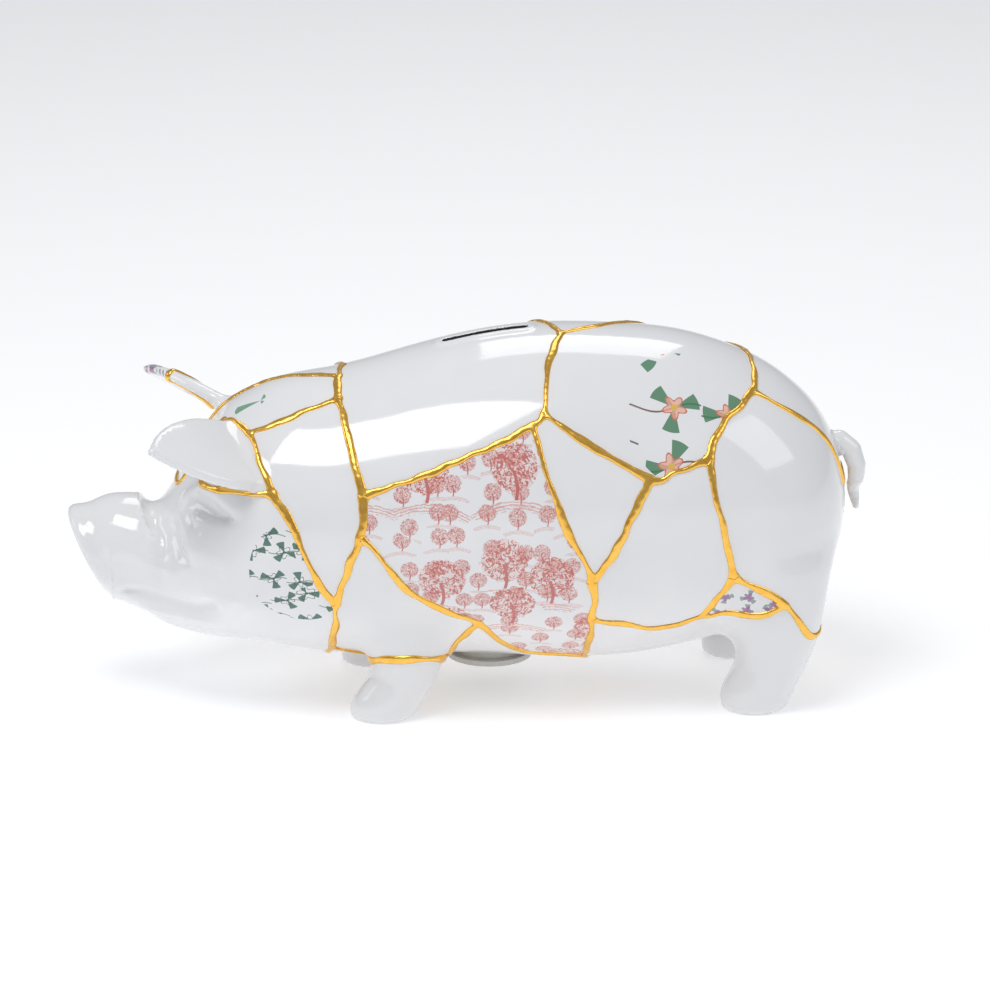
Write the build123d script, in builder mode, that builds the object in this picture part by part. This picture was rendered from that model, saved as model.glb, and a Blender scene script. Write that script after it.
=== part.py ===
"""Piggy bank of glazed porcelain shards, held together by raised gold seams.

Frame: millimetres, +Z up, the snout points along -X, origin on the floor under the
middle of the animal.  A place on the barrel is given as (x, angle): the angle turns
about the long axis from 0 on the back, through +90 on the left flank (-Y), to 180
under the belly, and negative angles lie on the right flank.
"""
import os
from math import atan2, cos, degrees, radians, sin

from build123d import *

os.makedirs("parts", exist_ok=True)

# ---------------------------------------------------------------- driving dimensions
WALL = 4.0             # thickness of the slip-cast porcelain
SEAM_GAP = 2.2         # gold between two shards
SEAM_RISE = 0.6        # how far the gold stands proud of the glaze
SEAM_OUT = 3.6         # how far a seam is cut past the outer skin
SEAM_IN = WALL + 9.0   # how far it is cut inside that line
HAUNCH_OUT = 17.0      # the same where the thigh bulges out of the barrel
SEAM_LAP = 0.6 * SEAM_GAP  # how far neighbouring cuts run past their shared end

# barrel and head: x, height of the axis, half height, half width
STATIONS = [
    (-150, 61.5, 17.5, 20.0),
    (-138, 59.5, 21.5, 22.5),
    (-129, 59.5, 26.5, 27.0),
    (-121, 64.0, 34.0, 34.0),
    (-112, 70.5, 42.5, 42.0),
    (-103, 75.5, 49.0, 48.0),
    (-93, 78.5, 53.0, 52.0),
    (-80, 80.0, 57.0, 55.5),
    (-55, 80.5, 61.0, 60.0),
    (-25, 84.0, 65.0, 64.0),
    (5, 87.0, 69.0, 66.5),
    (35, 87.5, 71.5, 67.5),
    (65, 87.0, 71.0, 67.0),
    (90, 87.5, 67.5, 65.5),
    (110, 87.0, 62.0, 62.0),
    (127, 85.5, 55.5, 56.5),
    (141, 84.0, 46.5, 48.5),
    (151, 83.0, 36.0, 38.0),
    (158, 82.5, 22.0, 24.0),
    (161, 82.5, 4.0, 4.0),
]
CAVITY_FIRST, CAVITY_LAST = -129, 151      # the hollow runs between these stations

# snout: x, height, half height, half width and forward tilt of each section
SNOUT = [(-140, 60.0, 20.0, 21.0, 0), (-151, 63.0, 18.6, 19.5, 12), (-161.5, 65.5, 20.0, 20.5, 25)]
NOSTRIL_R, NOSTRIL_Y, NOSTRIL_DEPTH = 3.2, 8.0, 5.0

# legs: height, x, distance from the middle plane, half length, half width
FRONT_LEG = [(46, -26, 35, 19, 15), (30, -27, 36, 16, 15), (18, -29, 36, 14.5, 13.5),
             (8, -35, 36, 15, 14), (0, -38, 36, 14, 13)]
REAR_LEG = [(66, 122, 34, 27, 22), (42, 127, 36, 21.5, 19), (20, 127, 36, 15.6, 15),
            (8, 121.5, 36, 15.5, 14.5), (0, 120, 36, 14, 13)]
FRONT_RING, REAR_RING = 24.5, 26.0         # height of the seam round a leg, at its middle
RING_TILT, RING_ROOM = 19.0, 4.0           # tilt outwards, and how far the cut passes the leg
HOOF_SLIT, HOOF_SLIT_HEIGHT = 3.0, 11.0    # cleft between the two toes

# ears: a leaf from its root to its tip
EAR_ROOT, EAR_TIP = Vector(-95, -31, 114), Vector(-133, -63, 128)
EAR_EDGE = Vector(0.38, -0.78, -0.50)      # along the root
EAR_HALF_WIDTH, EAR_THICK, EAR_SUNK = 23.0, 5.0, 9.0
EAR_TIP_SEAM, EAR_SEAM_TILT = 26.0, 12.0   # seam across the right ear, from its root

# tail: a tube that leaves the rump, rises and curls down
TAIL_R = 4.0
TAIL_PATH = [(146, 0, 97), (156, 0, 108.5), (165.5, 0, 107), (166, 0, 92), (165.8, 0, 80)]
TAIL_BEND = 4.2

# coin slot, on the middle of the back
SLOT_X, SLOT_LENGTH, SLOT_WIDTH = 8.0, 37.0, 5.0
SLOT_RIM, SLOT_RIM_RISE = 3.5, 1.0

# stopper in the belly
STOPPER_X, STOPPER_R = 10.0, 15.0
STOPPER_FIT = 0.2      # radial clearance of the neck in its hole
SEAT_GAP = 0.15        # between the flange and the pad it closes on
PAD_R, PAD_DROP = 20.0, 1.2
FLANGE_R, FLANGE_THICK = 18.0, 2.2
NECK_ABOVE = 1.5       # how far the neck stands above the inner wall
PULL_R, PULL_DEPTH = 9.0, 1.0   # finger dimple under the flange
PULL_OUT = 12.0        # travel of the stopper: clear of its hole, still above the floor

# ---------------------------------------------------------------- barrel geometry


def station(x):
    """Axis height, half height and half width of the barrel at x."""
    x = min(max(x, STATIONS[0][0]), STATIONS[-1][0])
    for low, high in zip(STATIONS, STATIONS[1:]):
        if x <= high[0]:
            part = (x - low[0]) / (high[0] - low[0])
            return [u + part * (v - u) for u, v in zip(low[1:], high[1:])]


def on_skin(x, angle):
    """Point of the barrel's outer skin."""
    x = min(x, STATIONS[-1][0])
    axis, tall, wide = station(x)
    return Vector(x, -wide * sin(radians(angle)), axis + tall * cos(radians(angle)))


def skin_normal(x, angle):
    """Outward normal of the barrel's outer skin."""
    along = on_skin(x + 3, angle) - on_skin(x - 3, angle)
    around = on_skin(x, angle + 2) - on_skin(x, angle - 2)
    return around.cross(along).normalized()


# ---------------------------------------------------------------- network of seams
# Where seams meet or bend, as (x, angle).
KNOTS = {
    # round the left ear and across the forehead
    "ear_top": (-103, 12), "ear_nape": (-93, 33), "ear_low": (-84, 66),
    "ear_front_low": (-103, 58), "ear_front": (-113, 42), "ear_front_top": (-113, 20),
    "brow_left": (-122, 12), "brow_right": (-121, -18),
    # cheek and throat
    "cheek_1": (-79, 74), "cheek_2": (-74, 84), "cheek_3": (-66, 103), "jowl": (-58, 114),
    "throat": (-59, 147), "throat_mid": (-61, 178), "throat_right": (-58, -146),
    # crown and collar
    "nape_1": (-78, 32), "crown_1": (-106, -14), "crown_2": (-93, -10), "crown_3": (-80, -6),
    "collar_top": (-52, -7), "collar_crown": (-54, 7), "collar_nape": (-55, 24),
    "collar_1": (-53, 39), "collar_side": (-47, 69), "collar_low": (-48, 85), "collar_2": (-52, 95),
    # left shoulder and side
    "side_1": (-42, 90), "side_2": (-34, 101), "side_3": (-27, 110), "side_4": (-10, 121),
    "side_low": (1, 127), "belly_1": (20, 149), "belly_2": (34, 153), "belly_left": (48, 157),
    "chest_left": (-43, 157), "leg_in_left": (-28, 163), "leg_back_left": (-12, 158), "arm_left": (-7, 140),
    # saddle, wedge and back
    "saddle_1": (-30, 66), "saddle_2": (-4, 61), "saddle_low": (24, 52), "saddle_corner": (29, 48),
    "saddle_3": (33, 24), "saddle_top": (39, 8), "saddle_right": (34, -6),
    "flank_1": (32, 77), "flank_2": (38, 89), "flank_top": (48, 107), "flank_low": (49, 124),
    "wedge_1": (58, 94), "wedge_back": (72, 71), "wedge_2": (43, 57), "back_1": (84, 68), "rump_left": (97, 64),
    "back_2": (102, 52), "back_rear": (118, 30), "back_3": (120, 15), "back_end": (119, -7),
    "back_top": (55, 0), "back_4": (71, -14), "back_right": (87, -36), "back_5": (104, -31), "back_6": (114, -22),
    # rump and tail
    "tail_1": (129, 32), "tail_2": (141, 33), "tail_left": (152, 34), "tail_3": (159, 55), "tail_under": (160, 2),
    "tail_4": (159, -55), "tail_right": (151, -35), "tail_5": (134, -30),
    "rump_1": (99, 74), "rump_2": (103, 90), "hock_top": (108, 110), "hock_front": (97, 129),
    "hock_1": (108, 127), "hock_2": (119, 126), "hock_back": (130, 122), "hock_3": (120, 116),
    "rear_left": (145, 140), "rear_low": (152, 180), "rear_mid": (160, 178),
    "haunch_1": (61, 127), "haunch_2": (78, 132),
    # right side
    "ear_low_right": (-85, -68), "ear_front_low_right": (-104, -58), "ear_front_right": (-113, -42),
    "cheek_4": (-79, -82), "cheek_5": (-72, -96), "jowl_right": (-62, -110),
    "collar_3": (-53, -28), "collar_right": (-49, -50), "collar_low_right": (-44, -74), "collar_4": (-52, -94),
    "neck_1": (-68, -60), "side_5": (-25, -86), "side_6": (-4, -100), "side_low_right": (14, -118),
    "arm_right": (18, -138), "belly_3": (4, -148), "leg_back_right": (-12, -158), "leg_in_right": (-28, -163),
    "chest_right": (-43, -157), "saddle_4": (-22, -57), "saddle_low_right": (8, -50), "saddle_5": (25, -34),
    "flank_3": (27, -62), "flank_top_right": (44, -73), "flank_4": (40, -92), "flank_low_right": (33, -107),
    "belly_4": (33, -148), "belly_right": (46, -154), "belly_mid": (52, 180),
    "rump_3": (85, -52), "rump_right": (83, -70), "rump_4": (90, -90), "hock_right": (94, -110),
    "flank_5": (61, -127), "haunch_3": (112, -115), "haunch_right": (130, -122), "rear_right": (145, -140),
    "belly_5": (82, 175), "belly_6": (116, 180), "belly_front": (-27, 179),
}

# Each seam node of the model is a few cracks, each crack a chain of knots.
CRACKS = {
    "gold_seam_collar": [
        "collar_top collar_crown collar_nape collar_1 collar_side collar_low collar_2 jowl",
        "collar_top collar_3 collar_right collar_low_right collar_4 jowl_right",
        "jowl throat throat_mid throat_right jowl_right",
    ],
    "gold_seam_head": [
        "ear_top ear_nape ear_low cheek_1 cheek_2 cheek_3 jowl",
        "ear_top ear_front_top ear_front ear_front_low ear_low",
        "ear_front_top brow_left brow_right ear_front_right ear_front_low_right ear_low_right",
        "ear_low_right cheek_4 cheek_5 jowl_right",
        "brow_right crown_1 crown_2 crown_3 collar_crown",
        "ear_nape nape_1 collar_nape",
        "ear_low_right neck_1 collar_right",
    ],
    "gold_seam_left_side": [
        "collar_side saddle_1 saddle_2 saddle_low saddle_corner",
        "collar_low side_1 side_2 side_3 side_4 side_low belly_1 belly_2 belly_left",
        "side_low arm_left leg_back_left",
        "saddle_low flank_1 flank_2 flank_top flank_low belly_left",
    ],
    "gold_seam_back": [
        "saddle_corner saddle_3 saddle_top saddle_right",
        "saddle_top back_top back_4 back_right",
        "saddle_corner wedge_2 wedge_back back_1 rump_left",
        "wedge_back wedge_1 flank_top",
        "rump_left back_2 back_rear back_3 back_end",
        "back_end back_6 back_5 back_right",
    ],
    "gold_seam_rump": [
        "back_rear tail_1 tail_2 tail_left tail_3 tail_under tail_4 tail_right tail_5 back_6",
        "rump_left rump_1 rump_2 hock_top",
        "tail_under rear_mid rear_low",
    ],
    "gold_seam_left_haunch": [
        "hock_top hock_front hock_1 hock_2 hock_back",
        "hock_top hock_3 hock_back rear_left rear_low",
        "flank_low haunch_1 haunch_2 hock_front",
    ],
    "gold_seam_right_side": [
        "saddle_right saddle_5 saddle_low_right saddle_4 collar_right",
        "collar_low_right side_5 side_6 side_low_right arm_right belly_3 leg_back_right",
        "saddle_low_right flank_3 flank_top_right flank_4 flank_low_right side_low_right",
        "flank_top_right rump_right",
        "back_right rump_3 rump_right rump_4 hock_right",
        "flank_low_right flank_5 hock_right",
    ],
    "gold_seam_right_haunch": [
        "hock_right haunch_3 haunch_right rear_right rear_low",
        "flank_5 belly_right",
    ],
    "gold_seam_belly": [
        "throat chest_left leg_in_left leg_back_left",
        "throat_right chest_right leg_in_right leg_back_right",
        "leg_in_left belly_front leg_in_right",
        "arm_right belly_4 belly_right belly_mid belly_left",
        "belly_mid belly_5 belly_6 rear_low",
    ],
}

# A place inside each shard, as (x, angle).
SHARDS = {
    "face": (-135, 60), "crown": (-72, 14), "left_neck": (-66, 64), "right_neck": (-66, -84),
    "right_nape": (-70, -32), "saddle": (0, 30), "left_side": (0, 95), "left_shoulder": (-30, 128),
    "left_wedge": (52, 74), "back": (76, 30), "left_flank": (76, 104), "left_rump": (128, 84),
    "rump_top": (136, 4), "left_hock": (109, 118), "left_haunch": (80, 156), "belly_fore": (-48, 178),
    "belly_centre": (34, 178), "right_shoulder": (-30, -125), "right_side": (0, -74), "right_back": (52, -46),
    "right_flank": (64, -98), "right_rump": (128, -78), "right_haunch": (100, -140), "right_belly": (38, -128),
}


def crack_ends(chains):
    """Pairs of neighbouring knots along the chains."""
    for chain in chains:
        names = chain.split()
        yield from zip(names, names[1:])


def seam_plate(first, last, outwards):
    """Plane through two knots along the mean normal of the skin, and the plate's outline in it."""
    ends = [on_skin(*KNOTS[first]), on_skin(*KNOTS[last])]
    normals = [skin_normal(*KNOTS[first]), skin_normal(*KNOTS[last])]
    along = (ends[1] - ends[0]).normalized()
    up = normals[0] + normals[1]
    up = (up - along * up.dot(along)).normalized()
    plane = Plane(origin=(ends[0] + ends[1]) / 2, x_dir=along, z_dir=along.cross(up))
    turn = (KNOTS[last][1] - KNOTS[first][1] + 180) % 360 - 180
    middle = on_skin((KNOTS[first][0] + KNOTS[last][0]) / 2, KNOTS[first][1] + turn / 2)
    bulge = (middle - plane.origin).dot(up)
    reach = outwards + max(bulge, 0)
    laps = [along * -SEAM_LAP, along * SEAM_LAP]
    corners = [ends[0] + normals[0] * reach + laps[0], ends[1] + normals[1] * reach + laps[1],
               ends[1] - normals[1] * SEAM_IN + laps[1], ends[0] - normals[0] * SEAM_IN + laps[0]]
    flat = [plane.to_local_coords(corner) for corner in corners]
    return plane, [(corner.X, corner.Y) for corner in flat]


def seam_web(chains, outwards):
    """Thin plates along the chains of one seam, joined where they meet."""
    with BuildPart() as web:
        for first, last in crack_ends(chains):
            plane, outline = seam_plate(first, last, outwards)
            with BuildSketch(plane):
                Polygon(*outline, align=None)
        extrude(amount=SEAM_GAP / 2, both=True)
    return web.part


# ---------------------------------------------------------------- the whole animal


def leg_at(sections, height):
    """Middle x, distance from the middle plane and half length of a leg at a height."""
    for high, low in zip(sections, sections[1:]):
        if height >= low[0]:
            part = (height - low[0]) / (high[0] - low[0])
            x, apart, half_length = [v + part * (u - v) for u, v in zip(high[1:4], low[1:4])]
            return x, apart, half_length


def leg_shape(sections, side, grow):
    """One leg as a loft of level sections; side is -1 on the left, 1 on the right."""
    toe_x, apart = sections[-1][1] - sections[-1][3], sections[-1][2]
    with BuildPart() as leg:
        for height, x, out, half_length, half_width in sections:
            with BuildSketch(Plane.XY.offset(height)):
                with Locations((x, side * out)):
                    Ellipse(half_length + grow, half_width + grow)
        loft()
        with BuildSketch(Plane.XY):
            with Locations((toe_x, side * apart)):
                Rectangle(2 * HOOF_SLIT, HOOF_SLIT)
        extrude(amount=HOOF_SLIT_HEIGHT, mode=Mode.SUBTRACT)
    return leg.part


def mirrored(place, side):
    """A place given for the left side, taken to one side of the middle plane."""
    return Vector(place.X, -side * place.Y, place.Z)


def ear_plane(side):
    """Plane of one ear: its X runs from root to tip, its Y along the leaf's width."""
    out = (mirrored(EAR_TIP, side) - mirrored(EAR_ROOT, side)).normalized()
    return Plane(origin=mirrored(EAR_ROOT, side), x_dir=out, z_dir=out.cross(mirrored(EAR_EDGE, side)))


def ear_shape(side, grow):
    """One ear as a flat leaf."""
    length = (EAR_TIP - EAR_ROOT).length + grow
    half = EAR_HALF_WIDTH + grow
    root, widest = (-EAR_SUNK, 0.6 * half), (0.35 * length, half)
    with BuildPart() as ear:
        with BuildSketch(ear_plane(side)):
            with BuildLine():
                Spline((root[0], -root[1]), (widest[0], -widest[1]), (length, 0), tangents=((1, -0.3), (0, 1)))
                Spline((length, 0), widest, root, tangents=((0, 1), (-1, -0.3)))
                Line(root, (root[0], -root[1]))
            make_face()
        extrude(amount=EAR_THICK / 2 + grow, both=True)
    return ear.part


def tail_shape(grow):
    """The tail as a tube along straight runs and wide bends, with a round tip."""
    with BuildPart() as tail:
        with BuildLine() as path:
            FilletPolyline(*TAIL_PATH, radius=TAIL_BEND)
        with BuildSketch(Plane(origin=path.line @ 0, z_dir=path.line % 0)):
            Circle(TAIL_R + grow)
        sweep(path=path.line)
        with Locations(path.line @ 1):
            Sphere(TAIL_R + grow)
    return tail.part


def outer_form(grow):
    """The animal as one solid, grown outwards by grow."""
    with BuildPart() as form:
        for x, axis, tall, wide in STATIONS:
            with BuildSketch(Plane(origin=(x, 0, axis), x_dir=(0, 1, 0), z_dir=(1, 0, 0))):
                Ellipse(wide + grow, tall + grow)
        loft()
        for x, axis, tall, wide, tilt in SNOUT:
            face = (cos(radians(tilt)), 0, sin(radians(tilt)))
            with BuildSketch(Plane(origin=(x, 0, axis), x_dir=(0, 1, 0), z_dir=face)):
                Ellipse(wide, tall)
        loft()
        for side in (-1, 1):
            add(leg_shape(FRONT_LEG, side, grow))
            add(leg_shape(REAR_LEG, side, grow))
            add(ear_shape(side, grow))
        add(tail_shape(0))
    return form.part


def cavity():
    """The hollow inside the barrel."""
    with BuildPart() as hollow:
        for x, axis, tall, wide in STATIONS:
            if CAVITY_FIRST <= x <= CAVITY_LAST:
                with BuildSketch(Plane(origin=(x, 0, axis), x_dir=(0, 1, 0), z_dir=(1, 0, 0))):
                    Ellipse(wide - WALL, tall - WALL)
        loft()
    return hollow.part


hollow = cavity()
slot_plane = Plane(origin=on_skin(SLOT_X, 0), x_dir=(1, 0, 0.12), z_dir=skin_normal(SLOT_X, 0))
snout_x, snout_z, _, _, snout_tilt = SNOUT[-1]
disc_plane = Plane(origin=(snout_x, 0, snout_z), x_dir=(0, 1, 0),
                   z_dir=(-cos(radians(snout_tilt)), 0, -sin(radians(snout_tilt))))
pad_base = on_skin(STOPPER_X, 180).Z - PAD_DROP
flange_base = pad_base - SEAT_GAP - FLANGE_THICK

with BuildPart() as shell:
    add(outer_form(0))
    with BuildSketch(slot_plane.offset(SLOT_RIM_RISE)):
        SlotOverall(SLOT_LENGTH + 2 * SLOT_RIM, SLOT_WIDTH + 2 * SLOT_RIM)
    extrude(amount=-WALL / 2 - SLOT_RIM_RISE)
    add(hollow, mode=Mode.SUBTRACT)
    with BuildSketch(Plane.XY.offset(pad_base)):
        with Locations((STOPPER_X, 0)):
            Circle(PAD_R)
    extrude(amount=PAD_DROP + WALL)
    with BuildSketch(Plane.XY.offset(pad_base)):
        with Locations((STOPPER_X, 0)):
            Circle(STOPPER_R)
    extrude(amount=PAD_DROP + 2 * WALL, mode=Mode.SUBTRACT)
    with BuildSketch(slot_plane.offset(SLOT_RIM_RISE)):
        SlotOverall(SLOT_LENGTH, SLOT_WIDTH)
    extrude(amount=-2 * WALL - SLOT_RIM_RISE, mode=Mode.SUBTRACT)
    with BuildSketch(disc_plane):
        with Locations((-NOSTRIL_Y, 0), (NOSTRIL_Y, 0)):
            Circle(NOSTRIL_R)
    extrude(amount=-NOSTRIL_DEPTH, mode=Mode.SUBTRACT)

# ---------------------------------------------------------------- seams


def ring_web(sections, height, side):
    """Cut round one leg, tilted down towards the middle plane."""
    x, apart, half_length = leg_at(sections, height)
    tilt = radians(RING_TILT)
    with BuildPart() as ring:
        with BuildSketch(Plane(origin=(x, side * apart, height), z_dir=(0, -side * sin(tilt), cos(tilt)))):
            Circle(half_length + RING_ROOM)
        extrude(amount=SEAM_GAP / 2, both=True)
    return ring.part


def ear_web(side):
    """Cut across one ear, some way out from its root."""
    leaf = ear_plane(side)
    tilt = radians(EAR_SEAM_TILT)
    across = leaf.y_dir * cos(tilt) + leaf.x_dir * sin(tilt)
    with BuildPart() as cut:
        with BuildSketch(Plane(origin=leaf.origin + leaf.x_dir * EAR_TIP_SEAM, x_dir=across,
                               z_dir=across.cross(leaf.z_dir))):
            Rectangle(3 * EAR_HALF_WIDTH, 3 * EAR_THICK)
        extrude(amount=SEAM_GAP / 2, both=True)
    return cut.part


webs = {
    "gold_seam_right_ear": ear_web(1),
    "gold_seam_front_left_leg": ring_web(FRONT_LEG, FRONT_RING, -1),
    "gold_seam_front_right_leg": ring_web(FRONT_LEG, FRONT_RING, 1),
    "gold_seam_rear_right_leg": ring_web(REAR_LEG, REAR_RING, 1),
}
for seam_name, chains in CRACKS.items():
    webs[seam_name] = seam_web(chains, HAUNCH_OUT if "haunch" in seam_name else SEAM_OUT)

# the gold stands a little proud of the glaze, and its inner face is flush with the cavity
gold_stock = outer_form(SEAM_RISE) - hollow
earlier = []
for seam_name, web in webs.items():
    gold = (web & gold_stock).cut(*earlier) if earlier else web & gold_stock
    gold.label = seam_name
    export_step(gold, f"parts/{seam_name}.step")
    earlier.append(web)

# ---------------------------------------------------------------- shards


def shard_place(name):
    """A point in the wall of a shard that lies on the barrel."""
    return on_skin(*SHARDS[name]) - skin_normal(*SHARDS[name]) * (WALL / 2)


def foot_place(sections, side):
    """A point inside a foot."""
    height, x, apart, _, _ = sections[-2]
    return Vector(x, side * apart, height)


def ear_place(side, share):
    """A point inside an ear, a share of the way from root to tip."""
    return mirrored(EAR_ROOT + (EAR_TIP - EAR_ROOT) * share, side)


places = {name: shard_place(name) for name in SHARDS}
places["left_ear"] = ear_place(-1, 0.5)
places["right_ear_tip"] = ear_place(1, 0.9)
places["front_left_leg"] = foot_place(FRONT_LEG, -1)
places["front_right_leg"] = foot_place(FRONT_LEG, 1)
places["rear_right_leg"] = foot_place(REAR_LEG, 1)

broken = shell.part.cut(*webs.values()).solids()
for shard_name, place in places.items():
    with BuildPart() as shard:
        add(min(broken, key=lambda piece: piece.distance_to(place)))
    shard.part.label = shard_name
    export_step(shard.part, f"parts/{shard_name}.step")
print(len(broken), "shards,", len(places), "named")

# ---------------------------------------------------------------- rubber stopper

with BuildPart() as stopper:
    with BuildSketch(Plane.XY.offset(pad_base)):
        with Locations((STOPPER_X, 0)):
            Circle(STOPPER_R - STOPPER_FIT)
    extrude(amount=PAD_DROP + WALL + NECK_ABOVE)
    with BuildSketch(Plane.XY.offset(flange_base)):
        with Locations((STOPPER_X, 0)):
            Circle(FLANGE_R)
    extrude(amount=FLANGE_THICK)
    with BuildSketch(Plane.XY.offset(pad_base - SEAT_GAP)):
        with Locations((STOPPER_X, 0)):
            Circle(STOPPER_R - STOPPER_FIT)
    extrude(amount=SEAT_GAP)
    with BuildSketch(Plane.XY.offset(flange_base)):
        with Locations((STOPPER_X, 0)):
            Circle(PULL_R)
    extrude(amount=PULL_DEPTH, mode=Mode.SUBTRACT)
    fillet(stopper.edges().group_by(Axis.Z)[-1], radius=1.0)
stopper.part.label = "stopper"
export_step(stopper.part, "parts/stopper.step")
print("stopper travel", PULL_OUT, "leaves", round(flange_base - PULL_OUT, 2), "above the floor")
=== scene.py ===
# %% [markdown]
# # A kintsugi money box
#
# A pig of glazed porcelain, broken into shards and put together again with raised
# gold seams.  The shape is worked out first as one smooth skin, then the cracks are
# laid over it, the skin is cut along them, and gold is poured into every crack.

# %% Tools, frame and units
from functools import partial
from math import cos, radians, sin
import bpy
import numpy as np
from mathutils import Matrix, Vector


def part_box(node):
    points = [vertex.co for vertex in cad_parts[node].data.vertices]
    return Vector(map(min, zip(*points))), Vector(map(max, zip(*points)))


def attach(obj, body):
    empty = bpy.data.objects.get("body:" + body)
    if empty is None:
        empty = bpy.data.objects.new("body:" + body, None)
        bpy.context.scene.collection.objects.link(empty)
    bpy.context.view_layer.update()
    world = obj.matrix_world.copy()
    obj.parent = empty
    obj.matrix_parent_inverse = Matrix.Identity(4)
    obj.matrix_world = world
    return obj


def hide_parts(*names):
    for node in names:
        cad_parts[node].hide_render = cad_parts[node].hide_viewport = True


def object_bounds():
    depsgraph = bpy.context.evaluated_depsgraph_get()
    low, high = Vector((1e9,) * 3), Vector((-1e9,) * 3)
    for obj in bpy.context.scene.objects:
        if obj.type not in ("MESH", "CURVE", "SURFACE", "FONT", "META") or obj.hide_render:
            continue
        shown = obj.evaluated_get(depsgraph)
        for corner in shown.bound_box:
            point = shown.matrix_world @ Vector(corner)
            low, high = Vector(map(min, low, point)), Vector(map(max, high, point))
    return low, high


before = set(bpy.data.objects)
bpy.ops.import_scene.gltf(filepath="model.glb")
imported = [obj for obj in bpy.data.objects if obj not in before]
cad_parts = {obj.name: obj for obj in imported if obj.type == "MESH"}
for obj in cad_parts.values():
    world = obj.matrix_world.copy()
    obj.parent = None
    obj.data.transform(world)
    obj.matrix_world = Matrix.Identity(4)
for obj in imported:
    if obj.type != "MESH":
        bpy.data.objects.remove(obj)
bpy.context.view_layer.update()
MM = 0.001     # the tables below are in millimetres, Blender works in metres

# %% [markdown]
# ## The body as numbers
#
# A pot like this is drawn by its cross sections.  Each row gives a place along the
# body, the height of the section's middle, and its half height and half width.  A
# smooth curve through the *squares* of the half sizes closes the rump like a ball,
# where a curve through the sizes themselves would end in a point.

# %% Sections of barrel, snout and legs
BARREL = np.array([
    (-150, 61.5, 17.5, 20.0), (-138, 59.5, 21.5, 22.5), (-129, 59.5, 26.5, 27.0),
    (-121, 64.0, 34.0, 34.0), (-112, 70.5, 42.5, 42.0), (-103, 75.5, 49.0, 48.0),
    (-93, 78.5, 53.0, 52.0), (-80, 80.0, 57.0, 55.5), (-55, 80.5, 61.0, 60.0),
    (-25, 84.0, 65.0, 64.0), (5, 87.0, 69.0, 66.5), (35, 87.5, 71.5, 67.5),
    (65, 87.0, 71.0, 67.0), (90, 87.5, 67.5, 65.5), (110, 87.0, 62.0, 62.0),
    (127, 85.5, 55.5, 56.5), (141, 84.0, 46.5, 48.5), (151, 83.0, 36.0, 38.0),
    (158, 82.5, 21.0, 22.5), (161, 82.5, 0.0, 0.0)])
FRONT_LEG = np.array([(0, -38, 36, 14, 13), (8, -35, 36, 15, 14), (18, -29, 36, 14.5, 13.5),
                      (30, -27, 36, 16, 15), (46, -26, 35, 19, 15)])
REAR_LEG = np.array([(0, 120, 36, 14, 13), (8, 121.5, 36, 15.5, 14.5), (20, 127, 36, 15.6, 15),
                     (42, 127, 36, 21.5, 19), (66, 122, 34, 27, 22)])


def spline(knots, values):
    """Natural cubic spline: a function that passes through the values with no jump in bend."""
    knots, values = np.asarray(knots, float), np.asarray(values, float)
    gaps = np.diff(knots)
    n = len(knots)
    system, right = np.eye(n), np.zeros((n,) + values.shape[1:])
    for i in range(1, n - 1):
        system[i, i - 1:i + 2] = gaps[i - 1], 2 * (gaps[i - 1] + gaps[i]), gaps[i]
        right[i] = 6 * ((values[i + 1] - values[i]) / gaps[i] - (values[i] - values[i - 1]) / gaps[i - 1])
    bend = np.linalg.solve(system, right)

    def curve(t):
        t = np.clip(t, knots[0], knots[-1])
        i = np.clip(np.searchsorted(knots, t, side="right") - 1, 0, n - 2)
        gap, before, after = gaps[i], t - knots[i], knots[i + 1] - t
        if values.ndim > 1:
            gap, before, after = gap[..., None], before[..., None], after[..., None]
        return ((bend[i] * after ** 3 + bend[i + 1] * before ** 3) / (6 * gap)
                + (values[i] / gap - bend[i] * gap / 6) * after
                + (values[i + 1] / gap - bend[i + 1] * gap / 6) * before)
    curve.top = knots[-1]
    return curve


axis_height = spline(BARREL[:, 0], BARREL[:, 1])
tall_squared = spline(BARREL[:, 0], BARREL[:, 2] ** 2)
wide_squared = spline(BARREL[:, 0], BARREL[:, 3] ** 2)
front_leg = spline(FRONT_LEG[:, 0], FRONT_LEG[:, 1:])
rear_leg = spline(REAR_LEG[:, 0], REAR_LEG[:, 1:])
print("sections:", len(BARREL), "of the barrel,", len(FRONT_LEG) + len(REAR_LEG), "of the legs")

# %% [markdown]
# ## One skin out of simple shapes
#
# Each part of the animal is a function that gives, for any point, its distance from
# the part's surface, negative inside.  A *smooth minimum* melts two such functions
# into one, with a fillet where they meet, as wet clay is smoothed with a sponge.

# %% Distance functions
def melt(one, two, fillet):
    """Smooth minimum: below both where they are within a fillet of each other."""
    mix = np.clip(0.5 + 0.5 * (two - one) / fillet, 0, 1)
    return two + (one - two) * mix - fillet * mix * (1 - mix)


def melt_up(one, two, fillet):
    """Smooth maximum: what the two shapes have in common."""
    return -melt(-one, -two, fillet)


def carve(one, two, fillet):
    """Smooth maximum of one and minus two: takes shape two out of shape one."""
    return -melt(-one, two, fillet)


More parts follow.
